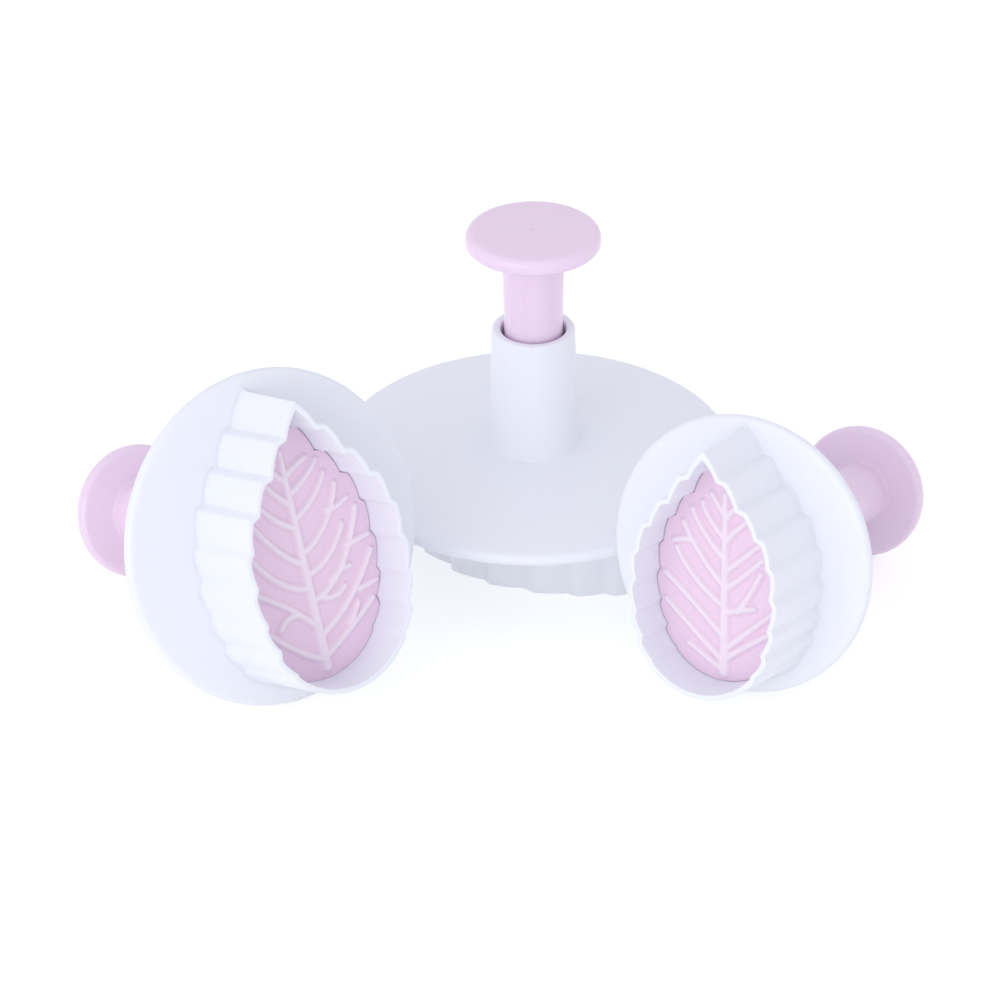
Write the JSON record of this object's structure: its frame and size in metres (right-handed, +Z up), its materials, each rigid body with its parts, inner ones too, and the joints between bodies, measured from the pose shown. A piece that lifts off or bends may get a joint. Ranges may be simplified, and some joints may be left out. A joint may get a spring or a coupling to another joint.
{
  "type": "plunger cutter set",
  "caption": "Graded leaf plunger cutters: toothed leaf blade under a domed flange, barrel with a sprung plunger and a veined pad; the large one stands, the others lie on their rims.",
  "frame": {"origin": "centre of the large cutter's cutting edge, on the surface that it stands on", "axes": "+Z up, from the large cutter's edge to its knob; +X to the right and +Y away from someone who looks at the set, with the two lying cutters in front (-Y)"},
  "size_m": [0.1552, 0.1076, 0.0641],
  "materials": {
    "white_plastic": "satin-gloss moulded",
    "pink_plastic": "satin-gloss moulded",
    "spring_steel": "drawn stainless wire"
  },
  "bodies": {
    "cutter_bodies": {"large_cutter_body": "white_plastic", "large_return_spring": "spring_steel", "medium_cutter_body": "white_plastic", "medium_return_spring": "spring_steel", "small_cutter_body": "white_plastic", "small_return_spring": "spring_steel"},
    "large_plunger_and_pad": {"large_plunger": "pink_plastic", "large_leaf_pad": "pink_plastic"},
    "medium_plunger_and_pad": {"medium_plunger": "pink_plastic", "medium_leaf_pad": "pink_plastic"},
    "small_plunger_and_pad": {"small_plunger": "pink_plastic", "small_leaf_pad": "pink_plastic"}
  },
  "joints": [
    {"name": "large_plunger_press", "type": "slide", "parent": "cutter_bodies", "child": "large_plunger_and_pad", "axis": [0, 0, -1], "range_m": [0, 0.0081], "stiffness_N_per_m": 900, "springref_m": -0.002, "deforming": ["large_return_spring"]},
    {"name": "medium_plunger_press", "type": "slide", "parent": "cutter_bodies", "child": "medium_plunger_and_pad", "axis": [0.5829, -0.7354, 0.3455], "range_m": [0, 0.0081], "stiffness_N_per_m": 900, "springref_m": -0.002, "deforming": ["medium_return_spring"]},
    {"name": "small_plunger_press", "type": "slide", "parent": "cutter_bodies", "child": "small_plunger_and_pad", "axis": [-0.513, -0.8209, 0.251], "range_m": [0, 0.0081], "stiffness_N_per_m": 900, "springref_m": -0.002, "deforming": ["small_return_spring"]}
  ]
}
